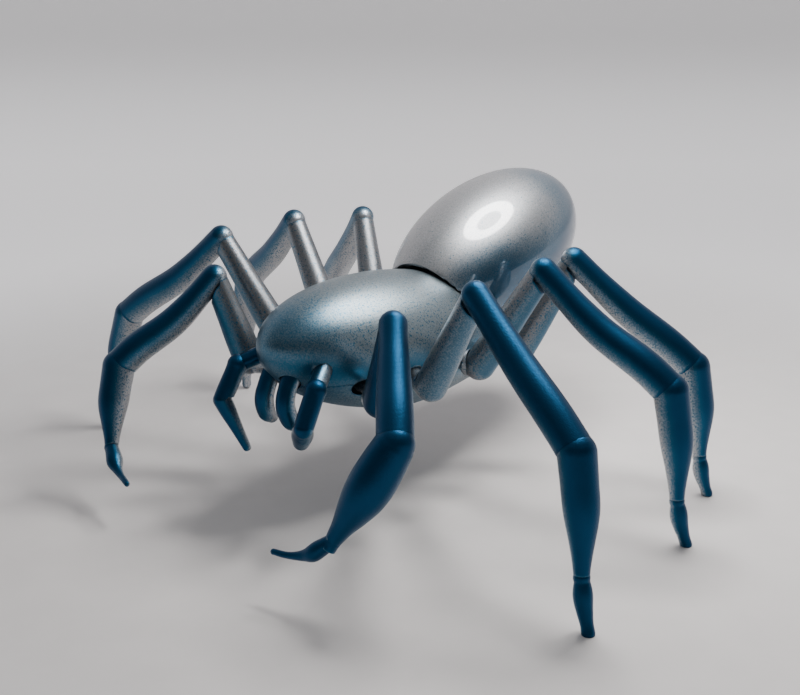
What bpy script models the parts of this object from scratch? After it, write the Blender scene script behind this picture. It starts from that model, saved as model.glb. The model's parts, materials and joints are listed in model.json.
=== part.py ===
"""Posable eight-legged spider figure.

Every leg is a chain of coxa, femur, tibia, metatarsus and tarsus.  Each hinge
is a ball on the outer segment that turns in a hollow seat on the inner one.
Inside the ball a flat tongue with moulded pivot stubs, part of the inner
segment, snaps into a slot, so the segments stay together without loose pins.

Frame: +Z up, floor at z = 0, the head looks along -Y, x = 0 is the mirror plane.
Lengths in the tables are millimetres; MM turns them into metres.
"""
from math import atan2, cos, hypot, pi, radians, sin, sqrt, tan

import bmesh
import bpy
from mathutils import Matrix, Vector

MM = 0.001
GAP = 0.3               # clearance between neighbouring pieces
SIDES = 8               # facets around a leg segment
WELD = 0.000002         # merge distance in metres

# Cephalothorax: an ellipsoid (half sizes), tilted so the head end is higher.
THORAX_CENTRE = (0.0, -1.2, 54.2)
THORAX_HALF = (27.8, 64.9, 25.3)
THORAX_TILT = -9.4
SPLIT_Z = 51.2          # carapace above, sternum plate below
BELLY_RISE = 0.2        # share of the sternum's depth that is lost at the rear
BELLY_Y = (-10.0, 25.0)  # where that rise starts and is complete
DOWEL_Y = (-22.0, 32.0)
DOWEL_R = 3.0
DOWEL_RISE = 8.0

# Abdomen: an ellipsoid that rises to the rear, hollowed where it sits over the
# carapace, and held by the pedicel lug that pivots inside the carapace.
ABDOMEN_CENTRE = (0.0, 51.8, 78.1)
ABDOMEN_HALF = (28.9, 48.8, 27.0)
ABDOMEN_TILT = 20.1
ABDOMEN_CLEAR = 2.4
PEDICEL_PIVOT = (0.0, 15.0, 68.2)
PEDICEL_ELEVATION = 45.0
PEDICEL_LUG_R = 4.6
PEDICEL_LUG_THICK = 6.0
PEDICEL_ARM_R = 2.8
PEDICEL_ARM_LENGTH = 24.0
PEDICEL_STUB_R = 1.8
PEDICEL_STUB_HALF = 6.0
ABDOMEN_RANGE = (0.0, 10.0)

# Legs: where the femur pivots on the coxa, the coxa's length to its vertical
# pin, then heading (from +X towards +Y, mirrored on the right), pitch and
# length of each segment.  The two sides stand a few degrees apart.
LEGS = {
    "left": {
        1: {"hip": (32.5, -45.0, 49.0), "coxa": 23.0,
            "femur": (-27.5, 66.5, 33.0), "tibia": (-46.5, -37.0, 43.0),
            "metatarsus": (-130.5, -58.0, 35.5), "tarsus": (-159.0, -20.0, 21.0)},
        2: {"hip": (36.9, -24.0, 50.0), "coxa": 16.0,
            "femur": (-18.5, 55.5, 46.5), "tibia": (-14.0, -36.0, 60.5),
            "metatarsus": (-32.5, -78.0, 37.0), "tarsus": (-18.5, -75.0, 15.5)},
        3: {"hip": (38.0, 1.0, 51.5), "coxa": 13.5,
            "femur": (10.0, 58.0, 44.0), "tibia": (14.5, -37.5, 57.5),
            "metatarsus": (0.0, -82.0, 38.0), "tarsus": (37.0, -75.5, 15.0)},
        4: {"hip": (36.5, 26.0, 50.5), "coxa": 15.0,
            "femur": (30.0, 62.0, 40.0), "tibia": (27.0, -39.5, 57.5),
            "metatarsus": (23.5, -82.0, 34.5), "tarsus": (32.0, -75.5, 13.5)},
    },
    "right": {
        1: {"hip": (33.0, -45.1, 49.0), "coxa": 23.0,
            "femur": (-26.0, 68.0, 32.5), "tibia": (-55.5, -41.0, 47.5),
            "metatarsus": (-126.0, -62.5, 29.5), "tarsus": (-159.5, -18.0, 20.5)},
        2: {"hip": (35.6, -26.0, 51.0), "coxa": 16.0,
            "femur": (-15.0, 55.0, 45.5), "tibia": (-14.5, -37.5, 60.5),
            "metatarsus": (-20.5, -74.0, 36.5), "tarsus": (-28.0, -76.0, 15.0)},
        3: {"hip": (36.5, 0.0, 52.5), "coxa": 13.5,
            "femur": (11.0, 55.5, 44.0), "tibia": (15.0, -37.5, 57.5),
            "metatarsus": (10.5, -80.0, 37.5), "tarsus": (48.5, -74.5, 14.0)},
        4: {"hip": (35.5, 25.5, 51.0), "coxa": 15.0,
            "femur": (31.0, 60.5, 41.0), "tibia": (27.0, -40.0, 58.5),
            "metatarsus": (25.0, -80.0, 35.0), "tarsus": (25.5, -78.0, 14.0)},
    },
}
SIDE_SIGN = {"left": 1, "right": -1}
# Radius along each segment: (fraction of its length, radius).
FEMUR_FORM = ((0.2, 5.3), (1.0, 4.3))
TIBIA_FORM = ((0.15, 4.6), (0.5, 5.2), (1.0, 5.6))
METATARSUS_FORM = ((0.2, 5.6), (0.5, 5.2), (0.85, 2.9), (1.0, 2.4))
SWOLLEN_FORM = ((0.22, 6.7), (0.5, 6.4), (0.85, 3.3), (1.0, 2.4))
SWOLLEN_LEG = ("left", 1)   # this leg's metatarsus is thicker than the others
TARSUS_FORM = ((0.3, 2.9), (0.7, 2.4), (1.0, 2.0))
CLAW_FORM = ((0.32, 2.9), (0.52, 1.6), (0.95, 1.1))
HIP_BALL = 5.6
KNEE_BALL = 4.6
SHIN_BALL = 5.9
ANKLE_BALL = 2.6
FOOT_OVERRUN = 4.5      # the tarsus runs on this far and is cut flat at the floor
PEG_R = 1.1             # peg that plugs the tarsus into the metatarsus
PEG_LENGTH = 6.0
FLOOR_CUTTER = 20.0     # radius and depth of the block that levels a sole

COXA_BALL = 5.0
COXA_NECK = 3.3
COXA_BODY = 4.9
COXA_PIN_R = 1.5
COXA_PIN_HALF = 7.5
COXA_BODY_LENGTH = 7.5  # thick end of the coxa that carries the femur's seat
SHOULDER_WINDOW = 20.0  # how far out the coxa's swing window is cut

# Hinge ranges in degrees; plus bends a joint further, minus opens it.
SWIVEL_RANGE = (-12.0, 12.0)
HIP_RANGE = (-30.0, 8.0)
KNEE_RANGE = (-40.0, 4.0)
SHIN_RANGE = (-30.0, 5.0)

# Pedipalps: the root sits in the carapace, then a femur and a tarsus.
PALP_ROOT = (13.0, -51.0, 58.7)
PALP_PIVOT = (19.5, -61.5, 54.2)
PALP_ELBOW = (20.4, -68.3, 42.8)
PALP_TIP = {"left": (13.0, -62.6, 34.6), "right": (12.5, -64.9, 26.2)}
PALP_END_R = {"left": 2.8, "right": 1.5}
PALP_ROOT_R = 3.1
PALP_FORM = ((0.25, 3.3), (1.0, 3.5))
PALP_BALL = 3.7
ELBOW_BALL = 3.3
PALP_RANGE = (-15.0, 10.0)
ELBOW_RANGE = (-20.0, 8.0)

# Chelicerae: fangs bowed forwards under the head.
CHELICERA_PIVOT = (4.9, -57.8, 55.4)
CHELICERA_POINTS = ((4.9, -60.6, 51.2), (5.3, -62.3, 45.7), (5.9, -61.0, 40.2), (6.1, -58.6, 37.6))
CHELICERA_R = 3.2
CHELICERA_TIP = 0.62    # share of that radius left at the tip
CHELICERA_WINDOW = 12.0  # length of its opening through the underside of the head
CHELICERA_BALL = 3.4
CHELICERA_STUB_R = 1.0
CHELICERA_STUB_HALF = 4.3
CHELICERA_RANGE = (-8.0, 8.0)

# Paints: colour and roughness.
BLUE = ((0.012, 0.105, 0.235, 1.0), 0.3)
SILVER = ((0.42, 0.43, 0.44, 1.0), 0.34)
METALLIC = 0.85


def start_scene():
    for old in list(bpy.data.objects):
        bpy.data.objects.remove(old, do_unlink=True)
    parts = bpy.data.collections.new("spider_figure")
    cutters = bpy.data.collections.new("spider_cutters")
    for collection in (parts, cutters):
        bpy.context.scene.collection.children.link(collection)
    return parts, cutters


PARTS, CUTTERS = start_scene()


def paint(name, colour_and_roughness):
    colour, roughness = colour_and_roughness
    material = bpy.data.materials.new(name)
    material.use_nodes = True
    shader = material.node_tree.nodes["Principled BSDF"]
    shader.inputs["Base Color"].default_value = colour
    shader.inputs["Metallic"].default_value = METALLIC
    shader.inputs["Roughness"].default_value = roughness
    return material


def point(values, side=1):
    """A millimetre triple as a vector in metres, mirrored for side -1."""
    return Vector((values[0] * side, values[1], values[2])) * MM


def heading(turn, pitch, side=1):
    """Unit vector from a heading and a pitch in degrees."""
    a, b = radians(turn), radians(pitch)
    return Vector((cos(b) * cos(a) * side, cos(b) * sin(a), sin(b)))


def frame(origin, along, across):
    """Matrix with local Z along a segment and local Y near the hinge axis."""
    z = along.normalized()
    x = across.cross(z).normalized()
    y = z.cross(x)
    matrix = Matrix((x, y, z)).transposed().to_4x4()
    matrix.translation = origin
    return matrix


def new_object(name, mesh, matrix=Matrix(), collection=None):
    obj = bpy.data.objects.new(name, mesh)
    (collection or CUTTERS).objects.link(obj)
    obj.matrix_world = matrix
    if collection is None:
        obj.hide_render = True
        obj.display_type = "WIRE"
    return obj


def adopt(obj, name):
    """Turn a shape made as a cutter into a part with this name."""
    obj.name = name
    CUTTERS.objects.unlink(obj)
    PARTS.objects.link(obj)
    obj.hide_render = False
    obj.display_type = "TEXTURED"
    return obj


def settle(obj):
    """Replace an object's mesh with its evaluated one and drop its modifiers."""
    bpy.context.view_layer.update()
    shape = bpy.data.meshes.new_from_object(obj.evaluated_get(bpy.context.evaluated_depsgraph_get()))
    grid = bmesh.new()
    grid.from_mesh(shape)
    bmesh.ops.remove_doubles(grid, verts=grid.verts, dist=WELD)
    bmesh.ops.dissolve_degenerate(grid, edges=grid.edges, dist=WELD)
    grid.to_mesh(shape)
    grid.free()
    obj.modifiers.clear()
    obj.data = shape


def turned(name, profile, matrix, collection=None, sides=SIDES, phase=20.0):
    """Solid of revolution about local Z; profile is (radius, height), top to bottom.

    The phase turns the facets so that their corners miss the slots and bores.
    """
    matrix = matrix @ Matrix.Rotation(radians(phase), 4, "Z")
    line = bpy.data.meshes.new(name)
    corners = [(r * MM, 0.0, z * MM) for r, z in profile]
    line.from_pydata(corners, [(i, i + 1) for i in range(len(corners) - 1)], [])
    obj = new_object(name, line, matrix, collection)
    screw = obj.modifiers.new("turn", "SCREW")
    screw.steps = sides
    screw.render_steps = sides
    screw.use_merge_vertices = True
    screw.merge_threshold = WELD
    settle(obj)
    return obj


def ball(centre, radius, sides=SIDES):
    rings = sides // 2 + 1
    grid = bmesh.new()
    bmesh.ops.create_uvsphere(grid, u_segments=sides, v_segments=rings, radius=radius * MM)
    mesh = bpy.data.meshes.new("ball")
    grid.to_mesh(mesh)
    grid.free()
    return new_object("ball", mesh, Matrix.Translation(centre))


def rod(start, end, radius, sides=SIDES):
    along = end - start
    length = along.length / MM
    profile = ((0, length), (radius, length), (radius, 0), (0, 0))
    return turned("rod", profile, frame(start, along, side_of(along)), sides=sides, phase=9.0)


def bore(start, end, radius, sides=SIDES):
    """Cutting rod whose flats, not its corners, lie at the radius."""
    return rod(start, end, radius / cos(pi / sides), sides)


def hollow(centre, radius, sides=10):
    """Cutting ball whose flats lie at the radius."""
    return ball(centre, radius / cos(pi / sides) / cos(pi / (sides + 2)), sides)


def side_of(along):
    """Any vector clearly not parallel to this one."""
    flat = Vector((0, 0, 1)).cross(along)
    return flat if flat.length > 0.1 * along.length else Vector((0, 1, 0))


def prism(outline, matrix, half_thickness):
    """Slab with a closed outline in local XZ, thick along local Y."""
    curve = bpy.data.curves.new("outline", "CURVE")
    curve.dimensions = "2D"
    curve.fill_mode = "BOTH"
    curve.extrude = half_thickness * MM
    spline = curve.splines.new("POLY")
    spline.points.add(len(outline) - 1)
    for spot, (x, z) in zip(spline.points, outline):
        spot.co = (x * MM, z * MM, 0.0, 1.0)
    spline.use_cyclic_u = True
    stand = Matrix.Rotation(pi / 2, 4, "X")
    flat = bpy.data.objects.new("outline", curve)
    CUTTERS.objects.link(flat)
    bpy.context.view_layer.update()
    mesh = bpy.data.meshes.new_from_object(flat.evaluated_get(bpy.context.evaluated_depsgraph_get()))
    bpy.data.objects.remove(flat, do_unlink=True)
    grid = bmesh.new()
    grid.from_mesh(mesh)
    bmesh.ops.remove_doubles(grid, verts=grid.verts, dist=WELD)
    bmesh.ops.recalc_face_normals(grid, faces=grid.faces)
    grid.to_mesh(mesh)
    grid.free()
    return new_object("prism", mesh, matrix @ stand)


def combine(target, tool, operation):
    """Cut or join with a boolean, keep the result and remove the tool."""
    change = target.modifiers.new(operation.lower(), "BOOLEAN")
    change.operation = operation
    change.object = tool
    settle(target)
    bpy.data.objects.remove(tool, do_unlink=True)


def cut(target, tool):
    combine(target, tool, "DIFFERENCE")


def join(target, tool):
    combine(target, tool, "UNION")


def tidy(obj):
    """Keep the one body, without boolean crumbs or edges across flat faces."""
    grid = bmesh.new()
    grid.from_mesh(obj.data)
    left = set(grid.verts)
    bodies = []
    while left:
        front = [left.pop()]
        body = []
        while front:
            vertex = front.pop()
            body.append(vertex)
            near = {e.other_vert(vertex) for e in vertex.link_edges} & left
            left -= near
            front += near
        bodies.append(body)
    bodies.sort(key=len)
    for crumb in bodies[:-1]:
        bmesh.ops.delete(grid, geom=crumb, context="VERTS")
    bmesh.ops.dissolve_limit(grid, angle_limit=radians(0.3), verts=grid.verts, edges=grid.edges)
    grid.to_mesh(obj.data)
    grid.free()


def finish(obj, colour_and_roughness, origin):
    """Move the origin to the joint, shade smooth with sharp edges, paint the part."""
    tidy(obj)
    shift = obj.matrix_world.inverted() @ origin
    obj.data.transform(Matrix.Translation(-shift))
    obj.matrix_world = Matrix.Translation(origin) @ obj.matrix_world.to_3x3().to_4x4()
    obj.data.shade_smooth()
    obj.data.set_sharp_from_angle(angle=radians(35))
    obj.data.materials.clear()
    obj.data.materials.append(paint(obj.name + "_paint", colour_and_roughness))


def ellipsoid(name, centre, half, tilt, sides, rings, collection=None, grow=0.0):
    """Ellipsoid with its long axis near Y, poles at its two ends."""
    grid = bmesh.new()
    bmesh.ops.create_uvsphere(grid, u_segments=sides, v_segments=rings, radius=MM)
    size = Matrix.Diagonal((half[0] + grow, half[2] + grow, half[1] + grow, 1.0))
    poles_to_y = Matrix.Rotation(-pi / 2, 4, "X")
    grid.transform(poles_to_y @ size)
    mesh = bpy.data.meshes.new(name)
    grid.to_mesh(mesh)
    grid.free()
    place = Matrix.Translation(point(centre)) @ Matrix.Rotation(radians(tilt), 4, "X")
    return new_object(name, mesh, place, collection)


def limb_profile(ball_r, length, form, round_end=False):
    """Dome of the ball at z = 0 running into a tapered limb up to z = length."""
    first_r = form[0][1]
    profile = [(0.0, length), (form[-1][1], length)]
    if round_end:
        tip = form[-1][1]
        profile = [(0.0, length + tip), (tip * 0.7, length + tip * 0.7), (tip, length)]
    profile += [(r, t * length) for t, r in reversed(form) if t < 1.0]
    meet = sqrt(max(ball_r ** 2 - min(first_r, ball_r * 0.98) ** 2, 0.0))
    start = atan2(meet, min(first_r, ball_r * 0.98))
    steps = 3 if ball_r > 3.0 else 2
    for k in range(steps + 1):
        a = start + (-pi / 2 - start) * k / steps
        profile.append((ball_r * cos(a) if k < steps else 0.0, ball_r * sin(a)))
    return profile


def snap_hinge(holder, mover, centre, axis, inward, ball_r, limits):
    """Tongue with pivot stubs on the holder, slot and stub holes in the mover.

    inward points from the joint centre into the holder; limits are the slopes
    in degrees that the tongue takes as seen from the mover.
    """
    half_t = 0.19 * ball_r
    half_w = 0.28 * ball_r
    stub_r = 0.22 * ball_r
    stub_half = 0.47 * ball_r
    fine = min(GAP, 0.12 * ball_r)
    length = ball_r + GAP + 0.75 * ball_r
    place = frame(centre, inward, axis)
    blade = ((-half_w, -half_w), (half_w, -half_w), (half_w, length), (-half_w, length))
    join(holder, prism(blade, place, half_t))
    join(holder, rod(centre - axis * stub_half * MM, centre + axis * stub_half * MM, stub_r))
    reach = hypot(half_w, half_w) + fine
    deep = ball_r + 3.0
    slot = []
    for angle, hand in ((limits[0], -1), (limits[1], 1)):
        a = radians(angle)
        corner = (reach * hand * cos(a), -reach * hand * sin(a))
        far = (corner[0] + deep * sin(a), corner[1] + deep * cos(a))
        slot.append((corner, far))
    middle = radians((limits[0] + limits[1]) / 2)
    apex = ((deep + reach) * sin(middle), (deep + reach) * cos(middle))
    back = [(-reach * 1.05 * sin(middle + s), -reach * 1.05 * cos(middle + s)) for s in (-0.5, 0.5)]
    outline = [slot[0][0], slot[0][1], apex, slot[1][1], slot[1][0], back[0], back[1]]
    cut(mover, prism(outline, place, half_t + fine))
    hole = (stub_half + fine) * MM
    cut(mover, bore(centre - axis * hole, centre + axis * hole, stub_r + fine))


def seat(holder, centre, axis, ball_r, mover_along, mover_r, top_angle):
    """Hollow end on the holder that clears the ball and the bent limb."""
    cut(holder, hollow(centre, ball_r + GAP))
    bent = Matrix.Rotation(radians(top_angle / 2), 4, axis) @ mover_along
    swing = 2.0 * mover_r * sin(radians(top_angle / 2))
    cut(holder, bore(centre, centre + bent * 3.0 * mover_r * MM, mover_r + GAP + swing))


def hinge(holder, mover, centre, axis, along_in, along_out, ball_r, mover_r, limits):
    """Cut and join everything that one bending joint needs."""
    seat(holder, centre, axis, ball_r, along_out, mover_r, limits[1])
    snap_hinge(holder, mover, centre, axis, -along_in, ball_r, (-limits[1], -limits[0]))


def build_leg(side_name, number, body_halves):
    side = SIDE_SIGN[side_name]
    data = LEGS[side_name][number]
    prefix = f"{side_name}_leg_{number}_"
    runs = {part: heading(*data[part][:2], side) for part in ("femur", "tibia", "metatarsus", "tarsus")}
    hip = point(data["hip"], side)
    out = heading(data["femur"][0], 0.0, side)
    pin = hip - out * data["coxa"] * MM
    knee = hip + runs["femur"] * data["femur"][2] * MM
    shin = knee + runs["tibia"] * data["tibia"][2] * MM
    ankle = shin + runs["metatarsus"] * data["metatarsus"][2] * MM
    up = Vector((0, 0, 1))

    neck_end = data["coxa"] - COXA_BODY_LENGTH
    neck_start = sqrt(COXA_BALL ** 2 - COXA_NECK ** 2)
    coxa_profile = [(0.0, data["coxa"]), (COXA_BODY, data["coxa"]), (COXA_BODY, neck_end + 2.0)]
    coxa_profile += [(COXA_NECK, neck_end), (COXA_NECK, neck_start)]
    meet = atan2(neck_start, COXA_NECK)
    for k in range(1, 4):
        a = meet + (-pi / 2 - meet) * k / 3
        coxa_profile.append((COXA_BALL * cos(a) if k < 3 else 0.0, COXA_BALL * sin(a)))
    coxa = turned(prefix + "coxa", coxa_profile, frame(pin, out, up), PARTS)
    join(coxa, rod(pin - up * COXA_PIN_HALF * MM, pin + up * COXA_PIN_HALF * MM, COXA_PIN_R, 8))
    cut_coxa_pocket(body_halves, pin, out, up)

    first_axis = out.cross(runs["femur"]).normalized()
    knee_axis = runs["femur"].cross(runs["tibia"]).normalized()
    shin_axis = runs["tibia"].cross(runs["metatarsus"]).normalized()
    ankle_axis = shin_axis
    if number == 1:
        ankle_axis = runs["metatarsus"].cross(runs["tarsus"]).normalized()

    def limb(part, start, axis, ball_r, form, extra=0.0, round_end=False):
        length = data[part][2] + extra
        profile = limb_profile(ball_r, length, form, round_end)
        return turned(prefix + part, profile, frame(start, runs[part], axis), PARTS)

    femur = limb("femur", hip, first_axis, HIP_BALL, FEMUR_FORM)
    tibia = limb("tibia", knee, knee_axis, KNEE_BALL, TIBIA_FORM)
    shank_form = SWOLLEN_FORM if (side_name, number) == SWOLLEN_LEG else METATARSUS_FORM
    metatarsus = limb("metatarsus", shin, shin_axis, SHIN_BALL, shank_form)
    if number == 1:
        tarsus = limb("tarsus", ankle, ankle_axis, ANKLE_BALL, CLAW_FORM, 0.0, True)
    else:
        tarsus = limb("tarsus", ankle, ankle_axis, ANKLE_BALL, TARSUS_FORM, FOOT_OVERRUN)
        on_floor = Vector((ankle.x, ankle.y, 0.0))
        cut(tarsus, rod(on_floor - up * FLOOR_CUTTER * MM, on_floor, FLOOR_CUTTER))

    hinge(coxa, femur, hip, first_axis, out, runs["femur"], HIP_BALL, FEMUR_FORM[0][1], HIP_RANGE)
    hinge(femur, tibia, knee, knee_axis, runs["femur"], runs["tibia"], KNEE_BALL,
          TIBIA_FORM[1][1], KNEE_RANGE)
    hinge(tibia, metatarsus, shin, shin_axis, runs["tibia"], runs["metatarsus"], SHIN_BALL,
          shank_form[0][1], SHIN_RANGE)
    cut(metatarsus, hollow(ankle, ANKLE_BALL + GAP))
    peg_end = ankle - runs["metatarsus"] * PEG_LENGTH * MM
    join(tarsus, rod(ankle, peg_end, PEG_R))
    cut(metatarsus, bore(ankle, peg_end - runs["metatarsus"] * GAP * MM, PEG_R + GAP))

    finish(coxa, SILVER, pin)
    finish(femur, BLUE, hip)
    finish(tibia, BLUE, knee)
    finish(metatarsus, BLUE, shin)
    finish(tarsus, BLUE, ankle)


def cut_coxa_pocket(body_halves, pin, out, up):
    """Ball pocket, swing window and pin bore shared by carapace and sternum."""
    spread = SHOULDER_WINDOW * tan(radians(SWIVEL_RANGE[1]))
    half_w = COXA_NECK + GAP + 0.4
    window = ((-half_w, 0.0), (half_w, 0.0), (half_w + spread, SHOULDER_WINDOW),
              (-half_w - spread, SHOULDER_WINDOW))
    for body in body_halves:
        cut(body, hollow(pin, COXA_BALL + GAP, SIDES))
        cut(body, prism(window, frame(pin, out, up), COXA_NECK + GAP))
        half = (COXA_PIN_HALF + GAP) * MM
        cut(body, bore(pin - up * half, pin + up * half, COXA_PIN_R + GAP))


def build_palp(side_name, carapace):
    side = SIDE_SIGN[side_name]
    root, pivot = point(PALP_ROOT, side), point(PALP_PIVOT, side)
    elbow, tip = point(PALP_ELBOW, side), point(PALP_TIP[side_name], side)
    into, down, last = (pivot - root), (elbow - pivot), (tip - elbow)
    into_n, down_n, last_n = into.normalized(), down.normalized(), last.normalized()
    cut(carapace, bore(root - into_n * GAP * MM, pivot, PALP_ROOT_R + GAP))
    base = adopt(rod(root, pivot, PALP_ROOT_R), side_name + "_palp_root")
    swing = into_n.cross(down_n).normalized()
    elbow_axis = down_n.cross(last_n).normalized()
    femur = turned(side_name + "_palp_femur", limb_profile(PALP_BALL, down.length / MM, PALP_FORM),
                   frame(pivot, down_n, swing), PARTS)
    end_r = PALP_END_R[side_name]
    tarsus_form = ((0.3, (ELBOW_BALL + end_r) / 2 + 0.4), (1.0, end_r))
    tarsus = turned(side_name + "_palp_tarsus",
                    limb_profile(ELBOW_BALL, last.length / MM, tarsus_form, True),
                    frame(elbow, last_n, elbow_axis), PARTS)
    hinge(base, femur, pivot, swing, into_n, down_n, PALP_BALL, PALP_BALL, PALP_RANGE)
    hinge(femur, tarsus, elbow, elbow_axis, down_n, last_n, ELBOW_BALL, ELBOW_BALL, ELBOW_RANGE)
    finish(base, SILVER, root)
    finish(femur, BLUE, pivot)
    finish(tarsus, SILVER, elbow)


def build_chelicera(side_name, body_halves):
    """Bent fang: a bevelled curve joined to its pivot ball and stubs."""
    side = SIDE_SIGN[side_name]
    pivot = point(CHELICERA_PIVOT, side)
    curve = bpy.data.curves.new("fang", "CURVE")
    curve.dimensions = "3D"
    curve.bevel_depth = CHELICERA_R * MM
    curve.bevel_resolution = 2
    curve.use_fill_caps = True
    curve.resolution_u = 2
    spline = curve.splines.new("BEZIER")
    spots = [pivot] + [point(p, side) for p in CHELICERA_POINTS]
    spline.bezier_points.add(len(spots) - 1)
    for knot, spot in zip(spline.bezier_points, spots):
        knot.co = spot
        knot.handle_left_type = "AUTO"
        knot.handle_right_type = "AUTO"
    spline.bezier_points[-1].radius = CHELICERA_TIP
    flat = bpy.data.objects.new("fang", curve)
    CUTTERS.objects.link(flat)
    bpy.context.view_layer.update()
    mesh = bpy.data.meshes.new_from_object(flat.evaluated_get(bpy.context.evaluated_depsgraph_get()))
    bpy.data.objects.remove(flat, do_unlink=True)
    grid = bmesh.new()
    grid.from_mesh(mesh)
    bmesh.ops.remove_doubles(grid, verts=grid.verts, dist=WELD)
    bmesh.ops.recalc_face_normals(grid, faces=grid.faces)
    grid.to_mesh(mesh)
    grid.free()
    fang = new_object(side_name + "_chelicera", mesh, Matrix(), PARTS)
    join(fang, ball(pivot, CHELICERA_BALL))
    tip = spots[-1] + Vector((0, 0.6, -0.9)) * MM
    join(fang, ball(tip, CHELICERA_R * CHELICERA_TIP))
    across = Vector((1, 0, 0))
    join(fang, rod(pivot - across * CHELICERA_STUB_HALF * MM,
                   pivot + across * CHELICERA_STUB_HALF * MM, CHELICERA_STUB_R))
    reach = (CHELICERA_STUB_HALF + GAP) * MM
    down = (spots[1] - pivot).normalized()
    cut(body_halves[0], hollow(pivot, CHELICERA_BALL + GAP))
    cut(body_halves[0], bore(pivot - across * reach, pivot + across * reach, CHELICERA_STUB_R + GAP))
    for body in body_halves:
        cut(body, bore(pivot, pivot + down * CHELICERA_WINDOW * MM, CHELICERA_R + GAP + 0.8))
    finish(fang, BLUE, pivot)


def build_abdomen(carapace):
    abdomen = ellipsoid("abdomen", ABDOMEN_CENTRE, ABDOMEN_HALF, ABDOMEN_TILT, 20, 14, PARTS)
    cut(abdomen, ellipsoid("hollow", THORAX_CENTRE, THORAX_HALF, THORAX_TILT, 20, 16,
                           grow=ABDOMEN_CLEAR))
    pivot = point(PEDICEL_PIVOT)
    across = Vector((1, 0, 0))
    a = radians(PEDICEL_ELEVATION)
    rise = Vector((0, cos(a), sin(a)))
    half = PEDICEL_LUG_THICK / 2
    lug = rod(pivot - across * half * MM, pivot + across * half * MM, PEDICEL_LUG_R)
    lug = adopt(lug, "pedicel")
    end = pivot + rise * PEDICEL_ARM_LENGTH * MM
    join(lug, rod(pivot, end, PEDICEL_ARM_R))
    stub = PEDICEL_STUB_HALF * MM
    join(lug, rod(pivot - across * stub, pivot + across * stub, PEDICEL_STUB_R))
    cut(abdomen, bore(pivot, end + rise * GAP * MM, PEDICEL_ARM_R + GAP))
    slot = (half + GAP) * MM
    cut(carapace, bore(pivot - across * slot, pivot + across * slot, PEDICEL_LUG_R + GAP))
    wide = PEDICEL_ARM_R + GAP
    turn = sin(radians(ABDOMEN_RANGE[1]))
    reach = PEDICEL_ARM_LENGTH
    window = ((-wide, 0.0), (wide, 0.0), (wide + reach * turn, reach), (-wide, reach))
    cut(carapace, prism(window, frame(pivot, rise, across), half + GAP))
    socket = stub + GAP * MM
    cut(carapace, bore(pivot - across * socket, pivot + across * socket, PEDICEL_STUB_R + GAP))
    finish(abdomen, SILVER, pivot)
    finish(lug, SILVER, pivot)


def raise_belly(body):
    """Make the sternum shallower towards the rear, where the last legs sit."""
    start, end = BELLY_Y
    grid = bmesh.new()
    grid.from_mesh(body.data)
    grid.transform(body.matrix_world)
    for vertex in grid.verts:
        depth = SPLIT_Z * MM - vertex.co.z
        if depth > 0:
            share = min(max((vertex.co.y / MM - start) / (end - start), 0.0), 1.0)
            vertex.co.z += depth * BELLY_RISE * share * share * (3 - 2 * share)
    bmesh.ops.connect_verts_nonplanar(grid, angle_limit=radians(0.1), faces=grid.faces)
    grid.transform(body.matrix_world.inverted())
    grid.to_mesh(body.data)
    grid.free()


def build_body_halves():
    """Carapace and sternum: one ellipsoid parted at the height of the coxa pins."""
    halves = []
    for name, sign in (("carapace", 1), ("sternum", -1)):
        half = ellipsoid(name, THORAX_CENTRE, THORAX_HALF, THORAX_TILT, 20, 16, PARTS)
        raise_belly(half)
        plane = SPLIT_Z * MM + sign * GAP * MM / 2
        up = Vector((0, 0, sign))
        start = Vector((0, 0, plane))
        cut(half, rod(start - up * max(THORAX_HALF) * MM, start, 2 * max(THORAX_HALF)))
        halves.append(half)
    carapace, sternum = halves
    for y in DOWEL_Y:
        foot = point((0.0, y, SPLIT_Z - 2.0))
        top = point((0.0, y, SPLIT_Z + DOWEL_RISE))
        join(sternum, rod(foot, top, DOWEL_R))
        cut(carapace, bore(foot, top + Vector((0, 0, GAP * MM)), DOWEL_R + GAP))
    return carapace, sternum


def build():
    halves = build_body_halves()
    for side_name, legs in LEGS.items():
        for number in legs:
            build_leg(side_name, number, halves)
        build_palp(side_name, halves[0])
        build_chelicera(side_name, halves)
    build_abdomen(halves[0])
    for half in halves:
        finish(half, SILVER, point(THORAX_CENTRE))


build()
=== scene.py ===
"""Looks of the posable spider figure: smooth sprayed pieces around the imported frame."""
import json
from math import cos, pi, radians, sin, sqrt

import bmesh
import bpy
import numpy as np
from mathutils import Matrix, Vector


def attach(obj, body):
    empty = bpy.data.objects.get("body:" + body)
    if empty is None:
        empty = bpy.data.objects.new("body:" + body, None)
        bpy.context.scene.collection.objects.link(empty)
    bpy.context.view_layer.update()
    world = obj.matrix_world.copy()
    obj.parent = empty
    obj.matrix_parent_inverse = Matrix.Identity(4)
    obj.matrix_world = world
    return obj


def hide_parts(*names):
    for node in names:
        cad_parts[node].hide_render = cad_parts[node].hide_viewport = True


MM = 0.001
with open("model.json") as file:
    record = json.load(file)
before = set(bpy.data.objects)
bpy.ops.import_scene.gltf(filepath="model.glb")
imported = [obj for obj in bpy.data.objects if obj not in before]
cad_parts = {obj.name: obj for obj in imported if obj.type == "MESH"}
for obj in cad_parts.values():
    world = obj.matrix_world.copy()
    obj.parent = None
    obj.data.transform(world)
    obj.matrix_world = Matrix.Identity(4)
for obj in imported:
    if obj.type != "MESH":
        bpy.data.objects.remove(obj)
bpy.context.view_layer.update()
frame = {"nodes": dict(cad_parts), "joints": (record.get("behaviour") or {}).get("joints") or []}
JOINTS = {joint["name"]: joint for joint in frame["joints"]}
SIDES = (("left", 1), ("right", -1))
UP = Vector((0, 0, 1))

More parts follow.
